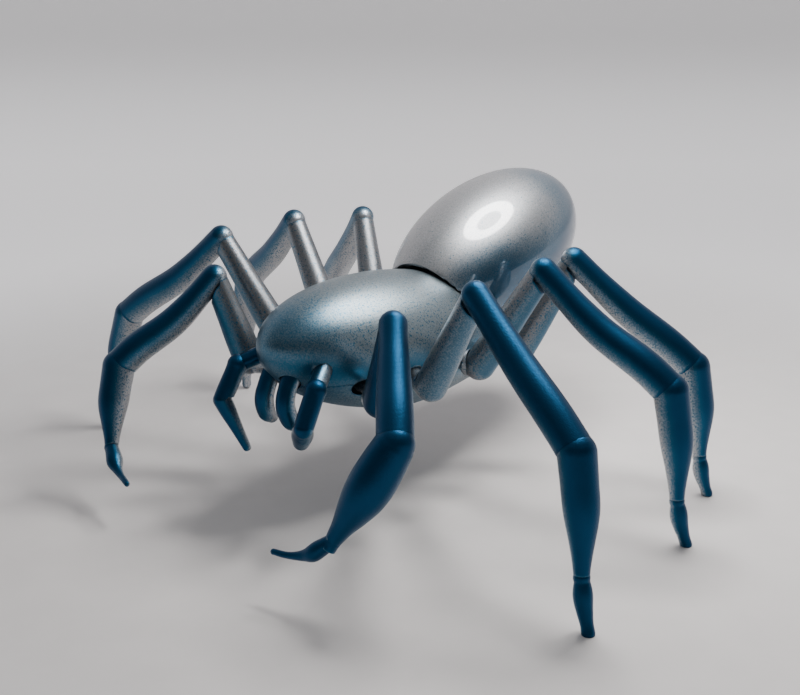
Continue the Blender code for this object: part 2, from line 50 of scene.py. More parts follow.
# Camera at the photographer's place.
CAMERA_PLACE = (0.2766, -0.3041, 0.1839)
CAMERA_TURN = 42.21
CAMERA_DIP = 18.07
CAMERA_LENS = 51.85

# Ring lamp over the figure and the pale tent round it.
LAMP_PLACE = (0.046, 0.054, 0.245)
LAMP_RADII = (0.029, 0.062)
LAMP_STRENGTH = 28.0
TENT_LEVEL = 0.34
TENT_OPENING = 0.10

# Body shapes as in the frame, in millimetres and degrees.
THORAX_CENTRE = (0.0, -1.2, 54.2)
THORAX_HALF = (27.8, 64.9, 25.3)
THORAX_TILT = -9.4
THORAX_MESH = (144, 96)     # segments round and along
SPLIT_Z = 51.2
SEAM = 0.08
BELLY_RISE = 0.2            # share of the depth taken off behind BELLY_Y
BELLY_Y = (-10.0, 25.0)
CUT_REACH = (90, 150)       # half size of the blocks that part carapace and sternum
POCKET_GAP = 0.2
COXA_SWING = 4.0            # how much wider a coxa's window is outside, for its swivel
COXA_WINDOW_LENGTH = 20
ABDOMEN_CENTRE = (0.0, 51.8, 78.1)
ABDOMEN_HALF = (28.9, 48.8, 27.0)
ABDOMEN_TILT = 20.1
ABDOMEN_MESH = (200, 140)
ABDOMEN_CLEAR = 0.3         # gap to the carapace at rest
TIPPED_CLEAR = 0.05         # and when tipped up
ABDOMEN_RIM = 1.8           # softness of the hollow's edge

# Metatarsus and tarsus of each leg: heading and pitch in degrees, length in millimetres.
LEG_ENDS = {
    "left": {
        1: ((-130.5, -58.0, 35.5), (-159.0, -20.0, 21.0)),
        2: ((-32.5, -78.0, 37.0), (-18.5, -75.0, 15.5)),
        3: ((0.0, -82.0, 38.0), (37.0, -75.5, 15.0)),
        4: ((23.5, -82.0, 34.5), (32.0, -75.5, 13.5)),
    },
    "right": {
        1: ((-126.0, -62.5, 29.5), (-159.5, -18.0, 20.5)),
        2: ((-20.5, -74.0, 36.5), (-28.0, -76.0, 15.0)),
        3: ((10.5, -80.0, 37.5), (48.5, -74.5, 14.0)),
        4: ((25.0, -80.0, 35.0), (25.5, -78.0, 14.0)),
    },
}

# Sag of the limbs: (fraction of length, millimetres to the inner side).
TIBIA_BOWS = {
    "left": {
        1: ((0.0, 0.0), (0.5, 0.3), (0.85, -0.3), (1.0, 0.0)),
        2: ((0.0, 0.0), (0.45, 0.5), (0.85, -0.3), (1.0, 0.0)),
        3: ((0.0, 0.0), (0.45, 1.9), (0.85, -0.2), (1.0, 0.0)),
        4: ((0.0, 0.0), (0.45, 0.9), (0.85, -0.2), (1.0, 0.0)),
    },
    "right": {
        1: ((0.0, 0.0), (0.45, 1.7), (0.85, -0.2), (1.0, 0.0)),
        2: ((0.0, 0.0), (0.45, 1.7), (0.85, -0.2), (1.0, 0.0)),
        3: ((0.0, 0.0), (0.45, 1.4), (0.85, -0.2), (1.0, 0.0)),
        4: ((0.0, 0.0), (0.45, 1.0), (0.85, -0.2), (1.0, 0.0)),
    },
}
METATARSUS_BOW = ((0.0, 0.0), (0.5, -0.9), (1.0, 0.0))
SWOLLEN_LEG = ("left", 1)
SWOLLEN_FORM = ((0.0, 6.2), (0.2, 6.9), (0.4, 7.1), (0.55, 6.5), (0.7, 5.1), (0.85, 3.5),
                (1.0, 2.5))
# Paint of the femurs, legs 1 to 4: how much painted shade darkens the silver, and how much bluer.
FEMUR_PAINTED_SHADE = {"left": (0.0, 0.1, 0.35, 0.4), "right": (0.55, 0.5, 0.4, 0.3)}
FEMUR_BIAS = {"left": (0.15, -0.38, -0.3, -0.3), "right": (-0.2, -0.38, -0.4, -0.4)}
TARSUS_BOW = ((0.0, 0.0), (0.5, 0.5), (1.0, 0.0))
CLAW_BOWS = {
    "left": ((0.0, 0.0), (0.45, -2.6), (0.8, -1.6), (1.0, 0.0)),
    "right": ((0.0, 0.0), (0.5, -1.8), (1.0, 0.0)),
}
STRAIGHT = ((0.0, 0.0), (1.0, 0.0))

# Radii of the balls at the joints, and radii along each limb as (fraction, radius).
HIP_BALL, KNEE_BALL, SHIN_BALL, ANKLE_BALL = 5.6, 4.6, 5.9, 2.6
COXA_BALL, COXA_NECK, COXA_BODY = 5.0, 3.3, 4.9
COXA_BODY_LENGTH = 6.9
COXA_STEP_LENGTH = 2.5
FEMUR_FORM = ((0.0, 5.6), (0.2, 5.5), (0.6, 4.8), (1.0, 4.25))
TIBIA_FORM = ((0.0, 4.6), (0.15, 4.6), (0.4, 5.2), (0.8, 5.7), (1.0, 5.7))
METATARSUS_FORM = ((0.0, 5.9), (0.2, 5.7), (0.5, 5.25), (0.6, 4.65), (0.7, 3.95), (0.8, 3.3),
                   (0.9, 2.75), (1.0, 2.4))
TARSUS_FORM = ((0.0, 2.2), (0.3, 3.0), (0.6, 2.55), (0.85, 2.05), (1.0, 2.1))
CLAW_FORM = ((0.0, 2.4), (0.14, 2.7), (0.32, 2.9), (0.5, 1.8), (0.7, 1.2), (0.96, 1.05),
             (1.0, 1.0))
SOLE_DEPTH = 1.2            # extra length of a standing tarsus, which the floor cuts flat

# Radii of the bent limbs that each seat has to clear.
SEAT_CLEAR = 0.06
FEMUR_SEAT_R = 5.75
TIBIA_SEAT_R = 5.4
METATARSUS_SEAT_R = 5.7
SWOLLEN_SEAT_R = 6.4
TARSUS_SEAT_R = 2.6
PALP_FEMUR_SEAT_R = 3.6
PALP_TARSUS_SEAT_R = 3.75
LIMB_RINGS, LIMB_SIDES, DOME_RINGS, TIP_RINGS = 44, 40, 12, 9

PALP_ROOT = (13.0, -51.0, 58.7)
PALP_TIP = {"left": (13.0, -62.6, 34.6), "right": (12.5, -64.9, 26.2)}
PALP_TARSUS_FORM = {
    "left": ((0.0, 3.3), (0.4, 3.7), (0.8, 3.2), (1.0, 2.9)),
    "right": ((0.0, 3.3), (0.25, 2.95), (0.55, 2.3), (1.0, 1.5)),
}
PALP_FEMUR_FORM = ((0.0, 3.6), (0.3, 3.4), (0.7, 3.4), (1.0, 3.3))
PALP_BALL, ELBOW_BALL = 3.7, 3.3
PALP_ROOT_R = 3.1
PALP_ROOT_HOLE = 3.25
PALP_HOLE_DEPTH = 4
CHELICERA_POINTS = ((4.9, -60.6, 51.2), (5.3, -62.3, 45.7), (5.9, -61.0, 40.2),
                    (6.1, -58.6, 37.6))
CHELICERA_FORM = ((0.0, 3.4), (0.25, 3.2), (0.6, 3.3), (0.85, 2.9), (1.0, 2.3))
CHELICERA_SIDES, CHELICERA_STEPS, CHELICERA_TIP_RINGS = 32, 10, 7
CHELICERA_HOLE = 3.6
CHELICERA_WINDOW = ((3.7, 3.7), (4.0, 4.6))     # inner and outer half width and half height
CHELICERA_WINDOW_LENGTH = 12

# Studio, metres: floor from FLOOR_NEAR to FLOOR_FAR, then a round cove and a wall.
FLOOR_NEAR, FLOOR_FAR = -6.0, 0.75
COVE_RADIUS, COVE_STEPS = 0.35, 16
WALL_TOP = 3.0
BACKDROP_HALF = 8.0
PAPER = (0.84, 0.805, 0.79)
PAPER_SPECK = 60.0
LAMP_SIDES = 48

# The tent's opening: ramps over how far a direction faces the camera, and its height.
TENT_FRONT = (-0.1, 0.55, 0.0, 1.0)
TENT_LOW = (0.35, 0.85, 1.0, 0.0)


def heading(turn, pitch, side):
    """Unit direction of a limb; side mirrors it to the right."""
    a, b = radians(turn), radians(pitch)
    return Vector((cos(b) * cos(a) * side, cos(b) * sin(a), sin(b)))


def spot(values, side=1):
    """Place in metres from millimetres; side mirrors it to the right."""
    return Vector((values[0] * side, values[1], values[2])) * MM


def joint_place(name):
    return Vector(JOINTS[name]["pos_m"])


def joint_axis(name):
    return Vector(JOINTS[name]["axis"])


def axes(along, across):
    """Rotation matrix: local Z along a limb, Y near its hinge, X to the inner side."""
    z = along.normalized()
    x = across.cross(z).normalized()
    return Matrix((x, z.cross(x), z)).transposed()


# ---------------------------------------------------------------- materials


class Graph:
    """Small helper for building a shader node tree."""

    def __init__(self, name):
        self.material = bpy.data.materials.new(name)
        self.material.use_nodes = True
        self.tree = self.material.node_tree
        self.shader = self.tree.nodes["Principled BSDF"]

    def add(self, kind, **settings):
        node = self.tree.nodes.new(kind)
        for key, value in settings.items():
            setattr(node, key, value)
        return node

    def fill(self, node, values):
        for key, value in values.items():
            node.inputs[key].default_value = value

    def link(self, out, into):
        self.tree.links.new(out, into)

    def noise(self, place, scale, detail=3.0, rough=0.5, distortion=0.0):
        node = self.add("ShaderNodeTexNoise")
        self.fill(node, {"Scale": scale, "Detail": detail, "Roughness": rough,
                         "Distortion": distortion})
        self.link(place, node.inputs["Vector"])
        return node.outputs["Fac"]

    def math(self, operation, a, b=None, clamp=False):
        node = self.add("ShaderNodeMath", operation=operation, use_clamp=clamp)
        for index, value in enumerate((a, b)):
            if value is None:
                continue
            if isinstance(value, (int, float)):
                node.inputs[index].default_value = value
            else:
                self.link(value, node.inputs[index])
        return node.outputs[0]

    def ramp(self, value, low, high, start=0.0, end=1.0):
        """Smooth step of a value from low to high, mapped to start..end."""
        node = self.add("ShaderNodeMapRange", interpolation_type="SMOOTHSTEP")
        self.fill(node, {"From Min": low, "From Max": high, "To Min": start, "To Max": end})
        self.link(value, node.inputs["Value"])
        return node.outputs["Result"]

    def mix(self, factor, a, b):
        node = self.add("ShaderNodeMix", data_type="RGBA")
        self.link(factor, node.inputs["Factor"])
        for key, value in (("A", a), ("B", b)):
            socket = [s for s in node.inputs if s.name == key and s.type == "RGBA"][0]
            if isinstance(value, tuple):
                socket.default_value = value
            else:
                self.link(value, socket)
        return [s for s in node.outputs if s.type == "RGBA"][0]

    def attribute(self, name):
        node = self.add("ShaderNodeAttribute", attribute_name=name)
        return node.outputs["Fac"]


def sprayed(name, silver, blue, silver_rough, blue_rough, speckle, bump, coat=0.0):
    """Silver spray with candy blue misted over it.

    The "paint" attribute says how much blue a place got, a second attribute how much
    painted shade darkens the silver, and "scar" where the print's support marks roughen the
    surface.
    """
    g = Graph(name)
    place = g.add("ShaderNodeTexCoord").outputs["Object"]
    paint = g.attribute("paint")
    scar = g.attribute("scar")
    cloud = g.noise(place, 90.0, 4.0, 0.6)
    mist = g.noise(place, 2300.0, 2.0, 0.6)
    drops = g.noise(place, 1700.0, 2.0, 0.5)
    blotch = g.math("MULTIPLY", g.math("SUBTRACT", cloud, 0.5), 0.22)
    spread = g.math("ADD", paint, blotch)
    grains = g.math("MULTIPLY", g.math("SUBTRACT", mist, 0.5), 0.55)
    body = g.ramp(g.math("ADD", spread, grains), 0.15, 0.85)
    dots = g.ramp(g.math("ADD", drops, g.math("MULTIPLY", paint, 0.16)), speckle, speckle + 0.04)
    cover = g.math("MAXIMUM", body, g.math("MULTIPLY", dots, 0.9))
    dust = g.ramp(g.noise(place, 1900.0, 2.0, 0.7), 0.3, 0.75, 0.8, 1.12)
    tone = g.add("ShaderNodeVectorMath", operation="SCALE")
    tone.inputs[0].default_value = silver[:3]
    # Painted shade: this attribute darkens the silver, standing in for the femurs' dark
    # reflections.
    painted_shade_factor = g.math("SUBTRACT", 1.0, g.attribute("painted_shade"))
    g.link(g.math("MULTIPLY", dust, painted_shade_factor), tone.inputs["Scale"])
    deep = g.ramp(spread, 0.45, 1.15)
    candy = g.mix(deep, blue[0], blue[1])
    g.link(g.mix(cover, tone.outputs[0], candy), g.shader.inputs["Base Color"])
    g.fill(g.shader, {"Metallic": 0.92, "Coat Weight": coat, "Coat Roughness": 0.06,
                      "Coat IOR": 1.75})
    rough = g.math("ADD", g.ramp(cover, 0.0, 1.0, silver_rough, blue_rough),
                   g.math("MULTIPLY", g.math("SUBTRACT", mist, 0.5), 0.12))
    rough = g.math("ADD", rough, g.math("MULTIPLY", scar, 0.18), clamp=True)
    g.link(rough, g.shader.inputs["Roughness"])
    layers = g.add("ShaderNodeTexWave", wave_type="BANDS", bands_direction="Z")
    g.fill(layers, {"Scale": LAYER_WAVE, "Distortion": 1.5, "Detail": 1.0, "Detail Scale": 0.6})
    g.link(place, layers.inputs["Vector"])
    grain = g.add("ShaderNodeBump")
    g.fill(grain, {"Strength": bump, "Distance": GRAIN_HEIGHT})
    lines = g.math("MULTIPLY", layers.outputs["Fac"], 0.12)
    g.link(g.math("ADD", mist, lines), grain.inputs["Height"])
    rubble = g.add("ShaderNodeBump")
    g.fill(rubble, {"Strength": 0.9, "Distance": RUBBLE_HEIGHT})
    marks = g.noise(place, 520.0, 3.0, 0.6, 1.2)
    g.link(g.math("MULTIPLY", marks, scar), rubble.inputs["Height"])
    g.link(grain.outputs["Normal"], rubble.inputs["Normal"])
    g.link(rubble.outputs["Normal"], g.shader.inputs["Normal"])
    return g.material


LAYER_WAVE = 300.0          # wave texture scale: print layers about a millimetre apart
GRAIN_HEIGHT = 0.00008      # metres
RUBBLE_HEIGHT = 0.0006
THORAX_SILVER = (0.235, 0.275, 0.295, 1.0)
ABDOMEN_SILVER = (0.34, 0.35, 0.365, 1.0)
ROOT_SILVER = (0.42, 0.44, 0.46, 1.0)
LIMB_SILVER = (0.40, 0.41, 0.43, 1.0)
CANDY = ((0.024, 0.120, 0.200, 1.0), (0.0025, 0.044, 0.105, 1.0))   # thin blue, deep blue
PAINTS = {
    "thorax_paint": sprayed("thorax_spray", THORAX_SILVER, CANDY, 0.39, 0.36, 0.61, 0.7),
    "abdomen_paint": sprayed("abdomen_spray", ABDOMEN_SILVER, CANDY, 0.43, 0.34, 0.66, 0.25, 1.0),
    "silver_paint": sprayed("root_spray", ROOT_SILVER, CANDY, 0.34, 0.3, 0.60, 0.6),
    "blue_paint": sprayed("limb_spray", LIMB_SILVER, CANDY, 0.36, 0.40, 0.60, 0.9),
}


def smooth(x, low, high):
    """Smooth step from 0 at low to 1 at high."""
    t = np.clip((x - low) / (high - low), 0.0, 1.0)
    return t * t * (3 - 2 * t)


def limb_paint(points, normals, bias):
    """Blue on what faces away from the body's middle, silver on what faces it."""
    outward = points.copy()
    outward[:, 2] = 0.0
    outward /= np.linalg.norm(outward, axis=1)[:, None] + 1e-9
    facing = (normals * outward).sum(axis=1) + 0.35 * normals[:, 2]
    return np.clip(0.5 + bias + 0.75 * facing, 0.0, 1.3)


def thorax_paint(points, normals, bias):
    """Blue at the head's front and along the flanks, silver on top and below."""
    front = smooth(-points[:, 1], 0.030, 0.062)
    flank = smooth(-points[:, 2], -0.066, -0.050) * smooth(-points[:, 1], -0.045, 0.01)
    belly = smooth(-normals[:, 2], 0.15, 0.6)
    return np.clip(0.2 + 0.38 * front + 0.7 * flank - 0.5 * belly + bias, 0.0, 1.2)


def abdomen_paint(points, normals, bias):
    """Blue at the rear, underneath and low on the left side."""
    rear = smooth(points[:, 1], 0.045, 0.090)
    under = smooth(-normals[:, 2], -0.1, 0.6) * smooth(points[:, 1], 0.02, 0.06)
    side = smooth(points[:, 0], 0.004, 0.026) * smooth(-points[:, 2], -0.1, -0.075) * 0.8
    return np.clip(0.02 + 0.85 * rear + 0.5 * under + side + bias, 0.0, 1.2)


def no_scar(points, normals):
    return np.zeros(len(points))


def under_scar(points, normals):
    """Support marks on what faces the floor."""
    return smooth(-normals[:, 2], 0.35, 0.8)


# ---------------------------------------------------------------- pieces


def mesh_from(grid, name):
    """Mesh from a bmesh, which is freed."""
    mesh = bpy.data.meshes.new(name)
    grid.to_mesh(mesh)
    grid.free()
    return mesh


def publish(name, mesh, body, slot, nodes, paint=limb_paint, bias=0.0, scar=no_scar,
            painted_shade=0.0):
    """Finish a piece: shading, paint attributes, material and its place in the frame."""
    obj = bpy.data.objects.new(name, mesh)
    bpy.context.scene.collection.objects.link(obj)
    mesh.shade_smooth()
    mesh.set_sharp_from_angle(angle=radians(40))
    count = len(mesh.vertices)
    points = np.empty(count * 3)
    mesh.vertices.foreach_get("co", points)
    points = points.reshape(-1, 3)
    normals = np.empty(count * 3)
    mesh.vertex_normals.foreach_get("vector", normals)
    normals = normals.reshape(-1, 3)
    # The third attribute is painted shade that darkens the femurs' silver.
    for label, values in (("paint", paint(points, normals, bias)), ("scar", scar(points, normals)),
                          ("painted_shade", np.full(count, painted_shade))):
        attribute = mesh.attributes.new(label, "FLOAT", "POINT")
        attribute.data.foreach_set("value", values.astype(np.float32))
    mesh.materials.clear()
    mesh.materials.append(PAINTS[slot])
    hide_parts(*nodes)
    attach(obj, body)


def curve_of(form, t):
    """Smooth value of a (fraction, value) table at fractions t."""
    x = np.array([p[0] for p in form], float)
    y = np.array([p[1] for p in form], float)
    slope = np.gradient(y, x)
    flat = np.diff(y) == 0
    slope[:-1][flat] = 0.0
    t = np.clip(t, x[0], x[-1])
    k = np.clip(np.searchsorted(x, t, side="right") - 1, 0, len(x) - 2)
    h = x[k + 1] - x[k]
    u = (t - x[k]) / h
    return ((1 + 2 * u) * (1 - u) ** 2 * y[k] + u * (1 - u) ** 2 * h * slope[k]
            + u * u * (3 - 2 * u) * y[k + 1] + u * u * (u - 1) * h * slope[k + 1])


def entry_height(x, y, length, ball_r, limbs):
    """Height at which a line up from (x, y) meets the next ball or its limb."""
    limit = np.full(x.shape, length + ball_r)
    inside = ball_r ** 2 - x * x - y * y
    hit = inside > 0
    limit[hit] = length - np.sqrt(inside[hit])
    for direction, radius in limbs:
        dx, dy, dz = direction
        side = x * dx + y * dy
        a = 1 - dz * dz
        b = -2 * side * dz
        c = x * x + y * y - side * side - radius ** 2
        disc = b * b - 4 * a * c
        ok = disc > 0
        w = np.where(ok, (-b - np.sqrt(np.maximum(disc, 0))) / (2 * a), 0.0)
        ok &= side + w * dz > 0
        limit = np.where(ok & (length + w < limit), length + w, limit)
    return limit


def limb_mesh(name, start, turn, length, ball_r, form, seat=None, bow=STRAIGHT):
    """Round limb from a ball at start, along local Z; seat hollows its far end.

    Sizes are millimetres.  bow is a table of the limb's shift to local X.
    """
    sides = LIMB_SIDES
    phi = np.linspace(0, 2 * pi, sides, endpoint=False)
    cp, sp = np.cos(phi), np.sin(phi)

    def radius(z):
        tube = curve_of(form, np.clip(z / length, 0, 1))
        dome = np.sqrt(np.maximum(ball_r ** 2 - z * z, 0.0))
        return np.where(z < 0, dome, np.maximum(tube, np.where(z < ball_r, dome, 0)))

    def centre(z):
        return curve_of(bow, np.clip(z / length, 0, 1))

    rows = []
    for k in range(1, DOME_RINGS):
        z = -ball_r * cos(pi / 2 * k / DOME_RINGS)
        r = sqrt(max(ball_r ** 2 - z * z, 0.0))
        rows.append((r * cp, r * sp, np.full(sides, z)))
    end = np.full(sides, length)
    if seat:
        ball_next, limbs = seat
        for _ in range(4):      # the rim's radius and height settle in a few rounds
            r = radius(end)
            end = entry_height(r * cp + centre(end), r * sp, length, ball_next, limbs)
    for k in range(LIMB_RINGS + 1):
        z = end * (k / LIMB_RINGS)
        r = radius(z)
        rows.append((r * cp + centre(z), r * sp, z))
    if seat:
        for share in (0.93, 0.75, 0.5, 0.25):
            r = radius(end) * share
            x, y = r * cp + centre(end), r * sp
            rows.append((x, y, entry_height(x, y, length, ball_next, limbs)))
        floor = entry_height(np.zeros(1), np.zeros(1), length, ball_next, limbs)
        last = (0.0, 0.0, float(floor[0]))
    else:
        tip = float(radius(np.array([length]))[0])
        for k in range(1, TIP_RINGS):
            a = pi / 2 * k / TIP_RINGS
            rows.append((tip * cos(a) * cp, tip * cos(a) * sp,
                         np.full(sides, length + tip * sin(a))))
        last = (0.0, 0.0, length + tip)
    points = [(0.0, 0.0, -ball_r)]
    for x, y, z in rows:
        points += list(zip(x, y, z))
    points.append(last)
    faces = [(0, 1 + (j + 1) % sides, 1 + j) for j in range(sides)]
    for i in range(len(rows) - 1):
        a, b = 1 + i * sides, 1 + (i + 1) * sides
        faces += [(a + j, a + (j + 1) % sides, b + (j + 1) % sides, b + j) for j in range(sides)]
    base = 1 + (len(rows) - 1) * sides
    faces += [(base + j, base + (j + 1) % sides, len(points) - 1) for j in range(sides)]
    place = np.array(turn)
    world = np.array(points) * MM @ place.T + np.array(start)
    mesh = bpy.data.meshes.new(name)
    mesh.from_pydata([tuple(p) for p in world], [], faces)
    mesh.update()
    return mesh


def seat_for(turn, next_along, axis, top_angle, ball_r, limb_r):
    """What the far end must clear: the next ball and limb, straight and most bent."""
    limbs = []
    for angle in (0.0, top_angle):
        bent = Matrix.Rotation(radians(angle), 3, axis) @ next_along
        local = turn.transposed() @ bent
        limbs.append((tuple(local), limb_r + SEAT_CLEAR))
    return ball_r + SEAT_CLEAR, limbs


def top_of(name):
    """Upper limit of a joint in degrees."""
    return JOINTS[name]["range_deg"][1]


def build_leg(side_name, side, number):
    prefix = f"{side_name}_leg_{number}_"
    pin, hip, knee, shin = (joint_place(prefix + n) for n in ("swivel", "lift", "knee", "shin"))
    lift_axis, knee_axis, shin_axis = (joint_axis(prefix + n) for n in ("lift", "knee", "shin"))
    last, foot = LEG_ENDS[side_name][number]
    swollen = (side_name, number) == SWOLLEN_LEG
    meta_dir, tarsus_dir = heading(*last[:2], side), heading(*foot[:2], side)
    ankle = shin + meta_dir * last[2] * MM
    out, femur_dir, tibia_dir = (step.normalized() for step in (hip - pin, knee - hip, shin - knee))
    ankle_axis = shin_axis if number > 1 else meta_dir.cross(tarsus_dir).normalized()

    reach = (hip - pin).length / MM
    turn = axes(out, lift_axis)
    neck = (reach - COXA_BODY_LENGTH) / reach
    form = ((0.0, COXA_NECK), (neck, COXA_NECK), (neck + COXA_STEP_LENGTH / reach, COXA_BODY),
            (1.0, COXA_BODY))
    seat = seat_for(turn, femur_dir, lift_axis, top_of(prefix + "lift"), HIP_BALL, FEMUR_SEAT_R)
    mesh = limb_mesh(prefix + "coxa_shell", pin, turn, reach, COXA_BALL, form, seat)
    publish(prefix + "coxa_shell", mesh, prefix + "coxa", "silver_paint", [prefix + "coxa"],
            bias=-0.55)

    turn = axes(femur_dir, lift_axis)
    seat = seat_for(turn, tibia_dir, knee_axis, top_of(prefix + "knee"), KNEE_BALL, TIBIA_SEAT_R)
    mesh = limb_mesh(prefix + "femur_shell", hip, turn, (knee - hip).length / MM, HIP_BALL,
                     FEMUR_FORM, seat)
    # The femur's silver is darkened with painted shade.
    publish(prefix + "femur_shell", mesh, prefix + "femur", "blue_paint", [prefix + "femur"],
            bias=FEMUR_BIAS[side_name][number - 1], painted_shade=FEMUR_PAINTED_SHADE[side_name][number - 1])

    turn = axes(tibia_dir, knee_axis)
    seat = seat_for(turn, meta_dir, shin_axis, top_of(prefix + "shin"), SHIN_BALL,
                    SWOLLEN_SEAT_R if swollen else METATARSUS_SEAT_R)
    mesh = limb_mesh(prefix + "tibia_shell", knee, turn, (shin - knee).length / MM, KNEE_BALL,
                     TIBIA_FORM, seat, TIBIA_BOWS[side_name][number])
    publish(prefix + "tibia_shell", mesh, prefix + "tibia", "blue_paint", [prefix + "tibia"],
            bias=0.25)

    turn = axes(meta_dir, shin_axis)
    seat = seat_for(turn, tarsus_dir, ankle_axis, 0.0, ANKLE_BALL, TARSUS_SEAT_R)
    mesh = limb_mesh(prefix + "metatarsus_shell", shin, turn, last[2], SHIN_BALL,
                     SWOLLEN_FORM if swollen else METATARSUS_FORM, seat, METATARSUS_BOW)
    publish(prefix + "metatarsus_shell", mesh, prefix + "metatarsus", "blue_paint",
            [prefix + "metatarsus"], bias=0.2)

    turn = axes(tarsus_dir, ankle_axis)
    if number == 1:
        mesh = limb_mesh(prefix + "tarsus_shell", ankle, turn, foot[2], ANKLE_BALL, CLAW_FORM,
                         bow=CLAW_BOWS[side_name])
    else:
        mesh = limb_mesh(prefix + "tarsus_shell", ankle, turn, foot[2] + SOLE_DEPTH, ANKLE_BALL,
                         TARSUS_FORM, bow=TARSUS_BOW)
        for vertex in mesh.vertices:
            vertex.co.z = max(vertex.co.z, 0.0)
    publish(prefix + "tarsus_shell", mesh, prefix + "metatarsus", "blue_paint",
            [prefix + "tarsus"], bias=0.35)


def build_palp(side_name, side):
    prefix = side_name + "_palp_"
    root, tip = spot(PALP_ROOT, side), spot(PALP_TIP[side_name], side)
    pivot, elbow = joint_place(prefix + "hinge"), joint_place(prefix + "elbow")
    swing, bend = joint_axis(prefix + "hinge"), joint_axis(prefix + "elbow")
    into, down, last = (step.normalized() for step in (pivot - root, elbow - pivot, tip - elbow))

    turn = axes(into, swing)
    seat = seat_for(turn, down, swing, top_of(prefix + "hinge"), PALP_BALL, PALP_FEMUR_SEAT_R)
    mesh = limb_mesh(prefix + "root_shell", root, turn, (pivot - root).length / MM, PALP_ROOT_R,
                     ((0.0, PALP_ROOT_R), (1.0, PALP_ROOT_R)), seat)
    publish(prefix + "root_shell", mesh, "body", "silver_paint", [prefix + "root"],
            bias=0.05 - 0.3 * side)

    turn = axes(down, swing)
    seat = seat_for(turn, last, bend, top_of(prefix + "elbow"), ELBOW_BALL, PALP_TARSUS_SEAT_R)
    mesh = limb_mesh(prefix + "femur_shell", pivot, turn, (elbow - pivot).length / MM, PALP_BALL,
                     PALP_FEMUR_FORM, seat)
    publish(prefix + "femur_shell", mesh, prefix + "femur", "blue_paint", [prefix + "femur"],
            bias=0.35)

    mesh = limb_mesh(prefix + "tarsus_shell", elbow, axes(last, bend), (tip - elbow).length / MM,
                     ELBOW_BALL, PALP_TARSUS_FORM[side_name])
    publish(prefix + "tarsus_shell", mesh, prefix + "tarsus", "silver_paint", [prefix + "tarsus"],
            bias=0.05, scar=under_scar)


def ring_round(place, turn, radius, lift, order=1):
    """Points of a circle in metres, lifted along local Z; order -1 runs it backwards."""
    angles = (2 * pi * j / CHELICERA_SIDES * order for j in range(CHELICERA_SIDES))
    return [place + turn @ Vector((radius * cos(b), radius * sin(b), lift)) for b in angles]


def build_chelicera(side_name, side):
    """Bowed fang swept along a smooth curve from its pivot to its blunt tip."""
    sides, name = CHELICERA_SIDES, side_name + "_chelicera"
    knots = [joint_place(name + "_hinge")] + [spot(p, side) for p in CHELICERA_POINTS]
    path = spline(knots, CHELICERA_STEPS)
    count = len(path)
    hinge_line = Vector((1, 0, 0))
    tube = []
    for i, place in enumerate(path):
        along = (path[min(i + 1, count - 1)] - path[max(i - 1, 0)]).normalized()
        r = curve_of(CHELICERA_FORM, np.array([i / (count - 1)]))[0] * MM
        tube.append(ring_round(place, axes(along, hinge_line), r, 0))
    caps, poles = [], []
    for place, along, r, order in ((path[0], path[0] - path[1], CHELICERA_FORM[0][1], -1),
                                   (path[-1], path[-1] - path[-2], CHELICERA_FORM[-1][1], 1)):
        turn = axes(along.normalized(), hinge_line)
        angles = [pi / 2 * k / CHELICERA_TIP_RINGS for k in range(1, CHELICERA_TIP_RINGS)]
        caps.append([ring_round(place, turn, r * MM * cos(a), r * MM * sin(a), order)
                     for a in angles])
        poles.append(place + along.normalized() * r * MM)
    grid = bmesh.new()
    start_pole, end_pole = (grid.verts.new(pole) for pole in poles)
    stack = [[grid.verts.new(p) for p in ring] for ring in caps[0][::-1] + tube + caps[1]]
    for lower, upper in zip(stack, stack[1:]):
        offset = nearest_offset(lower, upper)
        for j in range(sides):
            grid.faces.new((lower[j], lower[(j + 1) % sides], upper[(j + 1 + offset) % sides],
                            upper[(j + offset) % sides]))
    for j in range(sides):
        grid.faces.new((stack[0][(j + 1) % sides], stack[0][j], start_pole))
        grid.faces.new((stack[-1][j], stack[-1][(j + 1) % sides], end_pole))
    bmesh.ops.recalc_face_normals(grid, faces=grid.faces)
    publish(name + "_shell", mesh_from(grid, name + "_shell"), name, "blue_paint", [name],
            bias=-0.05, scar=under_scar)


def nearest_offset(lower, upper):
    """How far round the upper ring the point nearest the lower ring's first one is."""
    return min(range(len(upper)), key=lambda k: (upper[k].co - lower[0].co).length)


def spline(knots, steps):
    """Catmull-Rom curve through the knots."""
    padded = [knots[0] * 2 - knots[1]] + list(knots) + [knots[-1] * 2 - knots[-2]]
    path = []
    for i in range(1, len(padded) - 2):
        a, b, c, d = padded[i - 1:i + 3]
        for k in range(steps):
            t = k / steps
            path.append(0.5 * ((2 * b) + (c - a) * t + (2 * a - 5 * b + 4 * c - d) * t * t
                               + (3 * b - a - 3 * c + d) * t ** 3))
    path.append(knots[-1])
    return path


def ellipsoid(name, centre, half, tilt, sides, rings):
    """Egg with its long axis in local Y, tipped about X."""
    grid = bmesh.new()
    bmesh.ops.create_uvsphere(grid, u_segments=sides, v_segments=rings, radius=MM)
    size = Matrix.Diagonal((half[0], half[2], half[1], 1.0))
    place = Matrix.Translation(spot(centre)) @ Matrix.Rotation(radians(tilt), 4, "X")
    grid.transform(place @ Matrix.Rotation(-pi / 2, 4, "X") @ size)
    return mesh_from(grid, name)


def ball_mesh(centre, radius):
    """Ball at a centre in metres; its radius is in millimetres."""
    grid = bmesh.new()
    bmesh.ops.create_uvsphere(grid, u_segments=32, v_segments=20, radius=radius * MM)
    grid.transform(Matrix.Translation(centre))
    return mesh_from(grid, "ball")


